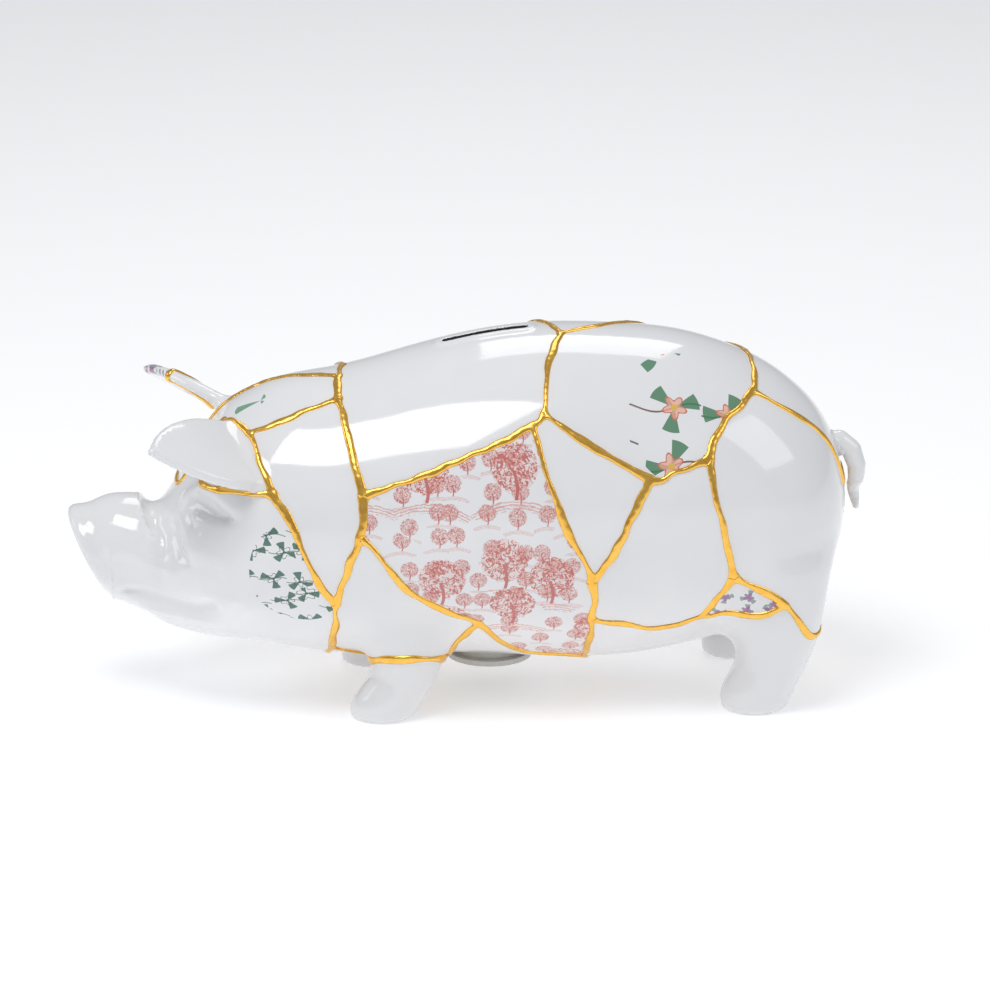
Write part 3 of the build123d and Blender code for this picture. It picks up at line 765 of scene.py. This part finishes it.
shard_nodes = [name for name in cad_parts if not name.startswith("gold_seam") and name != "stopper"]
node_boxes = {name: np.array(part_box(name)) / MM for name in shard_nodes}
shards = {}
for number in range(island.max() + 1):
    of_island = island == number
    if of_island.sum() < SMALLEST_ISLAND:
        continue
    chosen = np.flatnonzero(of_island)
    spot = np.full(len(shard_points), -1)
    spot[chosen] = np.arange(len(chosen))
    faces = spot[shard_triangles[of_island[shard_triangles[:, 0]]]]
    box = np.array([shard_points[chosen].min(0), shard_points[chosen].max(0)])
    node = min((n for n in shard_nodes if n not in shards), key=lambda n: np.abs(node_boxes[n] - box).sum())
    piece, outer_faces, all_faces = make_piece(node + "_glazed", shard_points[chosen], faces,
                                               shard_normals[chosen], SHARD_WALL)
    shade_from(piece, shard_normals[chosen], outer_faces)
    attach(piece, "pig")
    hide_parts(node)
    shards[node] = piece
    print(f"{node}: {all_faces} faces, box off by {np.abs(node_boxes[node] - box).max():.1f} mm")
print("shards:", len(shards), "missing:", [n for n in shard_nodes if n not in shards])

# %% [markdown]
# ## Gold
#
# Kintsugi gold is laid on with a brush, so a seam is a low rounded bead whose width
# wanders, and it pools where cracks meet.  The strip of skin within the seam's width
# is cut out of the fine mesh and raised by a half ellipse across the crack.

# %% Beads of gold along the cracks
wave = points @ np.array([(0.11, 0.07, -0.05), (0.05, -0.13, 0.09), (-0.21, 0.17, 0.23)]).T
half_width = (SEAM_HALF + 0.28 * np.sin(wave[:, 0] * 2.1) + 0.22 * np.sin(wave[:, 1] * 2.7 + 1)
              + 0.10 * np.sin(wave[:, 2] * 2))
gold = {}
for number, seam in enumerate(SEAMS):
    mine = seam_of[triangles].min(1) == number
    near = away[triangles].min(1) < half_width.max() + 0.3
    used, strip = np.unique(triangles[mine & near], return_inverse=True)
    strip = strip.reshape(-1, 3)
    share = np.clip(away[used], 0, None) / half_width[used]
    bead_points, bead_faces = clip(np.hstack([points[used], normals[used], share[:, None]]), strip, 1 - share)
    place, outward, share = bead_points[:, :3], bead_points[:, 3:6], bead_points[:, 6]
    outward = outward / np.linalg.norm(outward, axis=1)[:, None]
    lump = 0.93 + 0.07 * (np.sin(place @ np.array((0.9, 0.6, 0.8)))
                          * np.sin(place @ np.array((-0.5, 0.8, 0.6))))
    lift = SEAM_RISE * lump * np.sqrt(np.clip(1 - share ** 2, 0, 1)) - 0.02
    piece, _, _ = make_piece(seam + "_bead", place, bead_faces, outward, 1.0, lift)
    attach(piece, "pig")
    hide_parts(seam)
    gold[seam] = piece
print("gold:", len(gold), "pieces,", sum(len(p.data.polygons) for p in gold.values()), "faces")

# %% [markdown]
# ## Glaze, gold and printed china
#
# The shards come from different pots.  Most are plain white; some carry transfer
# prints.  A print is built from cells: each cell of a Voronoi pattern holds one motif,
# drawn with the place inside the cell as its paper.

# %% Node helpers
AXIS_UP, AXIS_R = 0.084, 0.065     # height and usual radius of the barrel, in metres


def node(tree, kind, **settings):
    """Adds a node; settings are its properties, or values of its inputs by number as i0, i1..."""
    made = tree.nodes.new(kind)
    for key, value in settings.items():
        if key[0] == "i" and key[1:].isdigit():
            if isinstance(value, bpy.types.NodeSocket):
                tree.links.new(value, made.inputs[int(key[1:])])
            else:
                made.inputs[int(key[1:])].default_value = value
        else:
            setattr(made, key, value)
    return made


def maths(tree, operation, *values):
    """One arithmetic step; gives its output socket."""
    return node(tree, "ShaderNodeMath", operation=operation,
                **{f"i{n}": v for n, v in enumerate(values)}).outputs[0]


def mixed(tree, share, low, high):
    """Colour between low and high; each may be a colour or an output socket."""
    return node(tree, "ShaderNodeMix", data_type="RGBA", i0=share, i6=low, i7=high).outputs[2]


def object_place(tree):
    """The place on the object, in metres."""
    return node(tree, "ShaderNodeTexCoord").outputs["Object"]


def noise(tree, scale, place=None, distortion=0.0):
    """Cloudy grey from 0 to 1, with about scale waves in one unit of place."""
    made = node(tree, "ShaderNodeTexNoise", i0=object_place(tree) if place is None else place)
    made.inputs["Scale"].default_value = scale
    made.inputs["Distortion"].default_value = distortion
    return made.outputs[0]


def round_barrel(tree):
    """Distance along the barrel in metres, and angle round it: 0 on the back, rising on the left side."""
    x, y, z = node(tree, "ShaderNodeSeparateXYZ", i0=object_place(tree)).outputs
    return x, maths(tree, "ARCTAN2", maths(tree, "MULTIPLY", y, -1.0), maths(tree, "SUBTRACT", z, AXIS_UP))


def cell_group(name, pitch, draw):
    """A node group that lays one motif in each cell, about pitch wide, and gives the motif's masks."""
    group = bpy.data.node_groups.new(name, "ShaderNodeTree")
    x, turn = round_barrel(group)
    flat = node(group, "ShaderNodeCombineXYZ", i0=maths(group, "DIVIDE", x, pitch),
                i1=maths(group, "MULTIPLY", turn, -AXIS_R / pitch)).outputs[0]
    cells = node(group, "ShaderNodeTexVoronoi", voronoi_dimensions="2D")
    cells.inputs["Scale"].default_value = 1.0
    cells.inputs["Randomness"].default_value = 0.75
    group.links.new(flat, cells.inputs["Vector"])
    local = node(group, "ShaderNodeVectorMath", operation="SUBTRACT", i0=flat, i1=cells.outputs["Position"])
    u, v, _ = node(group, "ShaderNodeSeparateXYZ", i0=local.outputs[0]).outputs
    chance = node(group, "ShaderNodeSeparateColor", i0=cells.outputs["Color"]).outputs
    masks = draw(group, u, v, chance, flat)
    out = node(group, "NodeGroupOutput")
    for label, mask in masks.items():
        group.interface.new_socket(label, in_out="OUTPUT", socket_type="NodeSocketFloat")
        group.links.new(mask, out.inputs[label])
    return group


def blossom(tree, u, v, chance, flat):
    """Five-petal flower: petals where the radius is under a five-fold wave, a round eye, and side leaves."""
    do = partial(maths, tree)
    radius = do("SQRT", do("ADD", do("MULTIPLY", u, u), do("MULTIPLY", v, v)))
    turn = do("ADD", do("ARCTAN2", v, u), do("MULTIPLY", chance[0], 6.28))
    size = do("MULTIPLY_ADD", chance[1], 0.14, 0.20)
    edge = do("MULTIPLY", size, do("MULTIPLY_ADD", do("COSINE", do("MULTIPLY", turn, 5.0)), 0.22, 0.80))
    petals = do("LESS_THAN", radius, edge)
    line = do("MULTIPLY", petals, do("GREATER_THAN", radius, do("SUBTRACT", edge, 0.028)))
    eye = do("LESS_THAN", radius, 0.055)
    blade = do("ABSOLUTE", do("SINE", do("MULTIPLY", turn, 1.5)))
    leaves = do("MULTIPLY", do("GREATER_THAN", blade, 0.86), do("LESS_THAN", radius, 0.43))
    wave = do("MULTIPLY", do("SINE", do("MULTIPLY", u, 5.0)), 0.08)
    stem = do("LESS_THAN", do("ABSOLUTE", do("SUBTRACT", v, wave)), 0.016)
    return {"Petals": petals, "Line": line, "Eye": eye, "Leaves": leaves, "Stem": stem}


def tree_scene(tree, u, v, chance, flat):
    """A scribbled tree on a hatched knoll: crown by noise in a circle, trunk, and ground lines."""
    do = partial(maths, tree)
    scribble = noise(tree, 13.0, flat, distortion=1.2)
    leafy = do("LESS_THAN", do("ABSOLUTE", do("SUBTRACT", scribble, 0.5)), 0.055)
    up = do("SUBTRACT", v, 0.10)
    crown = do("LESS_THAN", do("ADD", do("MULTIPLY", u, u), do("MULTIPLY", up, up)),
               do("MULTIPLY_ADD", scribble, 0.12, 0.035))
    bent = do("ADD", u, do("MULTIPLY", do("SINE", do("MULTIPLY", v, 9.0)), 0.03))
    upright = do("MULTIPLY", do("LESS_THAN", v, 0.06), do("GREATER_THAN", v, -0.32))
    trunk = do("MULTIPLY", do("LESS_THAN", do("ABSOLUTE", bent), 0.022), upright)
    knoll = do("ADD", v, do("MULTIPLY_ADD", do("MULTIPLY", u, u), 0.5, 0.32))
    wave = do("SINE", do("MULTIPLY_ADD", knoll, 150.0, do("MULTIPLY", scribble, 9.0)))
    below = do("MULTIPLY", do("LESS_THAN", knoll, 0.0), do("GREATER_THAN", knoll, -0.14))
    ground = do("MULTIPLY", do("GREATER_THAN", wave, 0.35), below)
    strong = do("MAXIMUM", do("MULTIPLY", crown, leafy), trunk)
    return {"Ink": strong, "Hatch": ground, "Wash": crown}


BLOSSOM_LARGE = cell_group("blossom_large", 0.025, blossom)
BLOSSOM_SMALL = cell_group("blossom_small", 0.0085, blossom)
BLOSSOM_MIDDLE = cell_group("blossom_middle", 0.0125, blossom)
TREES = cell_group("trees_on_knolls", 0.031, tree_scene)
SMALL_TREES = cell_group("distant_trees", 0.012, tree_scene)
print("motifs:", [group.name for group in bpy.data.node_groups])

# %% [markdown]
# Porcelain is a white body under a clear, faultless glaze: nearly smooth, with a thin
# coat on top and only a breath of cloud in its white.  Brushed gold is patchier.

# %% Materials
def new_material(name, **values):
    """A material with a Principled shader; values set its constant inputs, with _ for a space."""
    material = bpy.data.materials.new(name)
    material.use_nodes = True
    shader = material.node_tree.nodes["Principled BSDF"]
    for key, value in values.items():
        shader.inputs[key.replace("_", " ")].default_value = value
    return material, material.node_tree, shader


def ripple(tree, shader, height, strength, distance):
    """Lets a grey socket stand for small heights on the surface."""
    bump = node(tree, "ShaderNodeBump")
    bump.inputs["Strength"].default_value = strength
    bump.inputs["Distance"].default_value = distance
    tree.links.new(height, bump.inputs["Height"])
    tree.links.new(bump.outputs[0], shader.inputs["Normal"])


def china(name, *layers, spot=None):
    """White glaze, with the inks of prints laid under it in the given order.

    spot limits the print to an ellipse: x in metres, angle round the barrel in degrees,
    and half of its extent in each."""
    material, tree, shader = new_material(name, Roughness=0.10, IOR=1.52, Coat_Weight=0.35,
                                          Coat_Roughness=0.04)
    do = partial(maths, tree)
    colour = mixed(tree, noise(tree, 45.0), (0.79, 0.80, 0.82, 1), (0.86, 0.86, 0.865, 1))
    within = 1.0
    if spot:
        x, turn = round_barrel(tree)
        along = do("DIVIDE", do("SUBTRACT", x, spot[0]), spot[2])
        across = do("DIVIDE", do("SUBTRACT", turn, np.radians(spot[1])), np.radians(spot[3]))
        within = do("LESS_THAN", do("ADD", do("MULTIPLY", along, along), do("MULTIPLY", across, across)), 1.0)
    for group, inks in layers:
        motifs = node(tree, "ShaderNodeGroup", node_tree=group)
        for label, ink in inks:
            share = do("MULTIPLY", do("MULTIPLY", motifs.outputs[label], ink[3]), within)
            colour = mixed(tree, share, colour, (*ink[:3], 1))
    tree.links.new(colour, shader.inputs["Base Color"])
    ripple(tree, shader, noise(tree, 160.0), 0.05, 0.0008)
    return material


def metal_gold():
    """Burnished gold lacquer, brushed on: patchy in tone and slightly rough."""
    material, tree, shader = new_material("kintsugi_gold", Metallic=1.0)
    patch = noise(tree, 220.0)
    tint = mixed(tree, patch, (0.86, 0.42, 0.05, 1), (1.0, 0.66, 0.16, 1))
    tree.links.new(tint, shader.inputs["Base Color"])
    rough = node(tree, "ShaderNodeMapRange", i0=patch)
    rough.inputs["To Min"].default_value = 0.16
    rough.inputs["To Max"].default_value = 0.34
    tree.links.new(rough.outputs[0], shader.inputs["Roughness"])
    ripple(tree, shader, patch, 0.25, 0.0006)
    return material


def soft_rubber():
    """Pale stopper rubber with a fine matt grain."""
    material, tree, shader = new_material("stopper_rubber", Roughness=0.55)
    tint = mixed(tree, noise(tree, 600.0), (0.55, 0.54, 0.50, 1), (0.66, 0.65, 0.61, 1))
    tree.links.new(tint, shader.inputs["Base Color"])
    return material


# an ink is its red, green, blue and how strongly it covers
PINK, PALE_PINK, PINK_WASH = (0.56, 0.13, 0.11, 0.9), (0.70, 0.30, 0.26, 0.75), (0.80, 0.48, 0.43, 0.35)
TREE_INKS = [("Wash", PINK_WASH), ("Hatch", PALE_PINK), ("Ink", PINK)]
DARK_GREEN = (0.02, 0.13, 0.08, 0.92)
DARK_INKS = [("Stem", DARK_GREEN), ("Leaves", DARK_GREEN), ("Line", (0.02, 0.08, 0.08, 0.95)),
             ("Eye", DARK_GREEN)]
PEACH_INKS = [("Stem", (0.16, 0.08, 0.05, 0.9)), ("Leaves", (0.05, 0.22, 0.10, 0.9)),
              ("Petals", (0.86, 0.42, 0.30, 0.75)), ("Line", (0.60, 0.16, 0.10, 0.9)),
              ("Eye", (0.75, 0.50, 0.10, 1.0))]
PURPLE_INKS = [("Leaves", (0.10, 0.20, 0.14, 0.7)), ("Petals", (0.28, 0.12, 0.34, 0.8)),
               ("Eye", (0.7, 0.1, 0.1, 1.0))]
LEAF_INKS = [("Leaves", (0.06, 0.28, 0.14, 0.85))]

white = china("white_glaze")
prints = {
    "left_side": china("print_trees", (SMALL_TREES, TREE_INKS), (TREES, TREE_INKS)),
    "back": china("print_blossom", (BLOSSOM_LARGE, PEACH_INKS), spot=(0.090, 44, 0.028, 27)),
    "face": china("print_dark_flowers", (BLOSSOM_MIDDLE, DARK_INKS), spot=(-0.073, 104, 0.021, 24)),
    "crown": china("print_leaf", (BLOSSOM_LARGE, LEAF_INKS), spot=(-0.095, 13, 0.010, 9)),
    "right_ear_tip": china("print_sprigs", (BLOSSOM_SMALL, PURPLE_INKS)),
}
prints["left_hock"] = prints["right_ear_tip"]
gold_metal, rubber = metal_gold(), soft_rubber()
for name, piece in shards.items():
    piece.data.materials.append(prints.get(name, white))
for piece in gold.values():
    piece.data.materials.append(gold_metal)
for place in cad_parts["stopper"].material_slots:
    place.material = rubber
print("materials:", len(bpy.data.materials))

# %% [markdown]
# ## Studio
#
# A pale floor, four soft boxes and a grey room.  The pot mirrors the boxes as soft
# highlights, and the room keeps the shadows open.

# %% Floor, lights, sky and camera
AIM = Vector((0, 0, 0.08))         # what the lights and the camera are turned to
FLOOR_HALF, FLOOR_UP = 4.0, -0.0002
SOFT_BOXES = [                     # name, azimuth, elevation, distance, side in metres, watts
    ("key", -35, 62, 1.1, 0.55, 5), ("side", 70, 35, 1.3, 0.6, 2),
    ("front", -100, 25, 1.4, 0.5, 1.5), ("back_light", 170, 50, 1.4, 0.6, 2.5)]
ROOM_GREY = (0.38, 0.385, 0.40, 1)
VIEW_AZIMUTH, VIEW_ELEVATION, VIEW_DISTANCE = -4, 17.5, 2.4
VIEW_WIDTH = 0.42075               # metres from side to side of the view at the pig's middle
SENSOR = 36                        # millimetres


def look_from(azimuth, elevation):
    """Unit vector from the object towards a viewer; azimuth 0 is the pig's left side."""
    a, e = radians(azimuth), radians(elevation)
    return Vector((sin(a) * cos(e), -cos(a) * cos(e), sin(e)))


def place_at(name, data, azimuth, elevation, distance):
    """Links a light or camera that looks at the pig's middle."""
    holder = bpy.data.objects.new(name, data)
    toward = look_from(azimuth, elevation)
    holder.location = AIM + toward * distance
    holder.rotation_euler = toward.to_track_quat("Z", "Y").to_euler()
    bpy.context.scene.collection.objects.link(holder)
    return holder


for name, azimuth, elevation, distance, side, watts in SOFT_BOXES:
    lamp = bpy.data.lights.new(name, "AREA")
    lamp.energy, lamp.size = watts, side
    place_at(name, lamp, azimuth, elevation, distance)

floor_mesh = bpy.data.meshes.new("floor")
floor_corners = [(x * FLOOR_HALF, y * FLOOR_HALF, FLOOR_UP) for x, y in ((-1, -1), (1, -1), (1, 1), (-1, 1))]
floor_mesh.from_pydata(floor_corners, [], [(0, 1, 2, 3)])
floor = bpy.data.objects.new("floor", floor_mesh)
bpy.context.scene.collection.objects.link(floor)
floor_mesh.materials.append(new_material("floor_paint", Base_Color=(0.90, 0.905, 0.92, 1), Roughness=0.6,
                                         Emission_Color=(1, 1, 1, 1), Emission_Strength=0.30)[0])

world = bpy.data.worlds.new("studio")
world.use_nodes = True
seen_by_camera = node(world.node_tree, "ShaderNodeLightPath").outputs["Is Camera Ray"]
backdrop = mixed(world.node_tree, seen_by_camera, ROOM_GREY, (1, 1, 1, 1))
world.node_tree.links.new(backdrop, world.node_tree.nodes["Background"].inputs["Color"])
bpy.context.scene.world = world

camera_data = bpy.data.cameras.new("camera")
camera_data.sensor_width = SENSOR
camera_data.lens = SENSOR * VIEW_DISTANCE / VIEW_WIDTH
camera_data.shift_x, camera_data.shift_y = 0.0293, 0.0119
bpy.context.scene.camera = place_at("camera", camera_data, VIEW_AZIMUTH, VIEW_ELEVATION, VIEW_DISTANCE)
bpy.context.scene.view_settings.view_transform = "Standard"
print("lights:", len(SOFT_BOXES), "lens:", round(camera_data.lens), "mm")
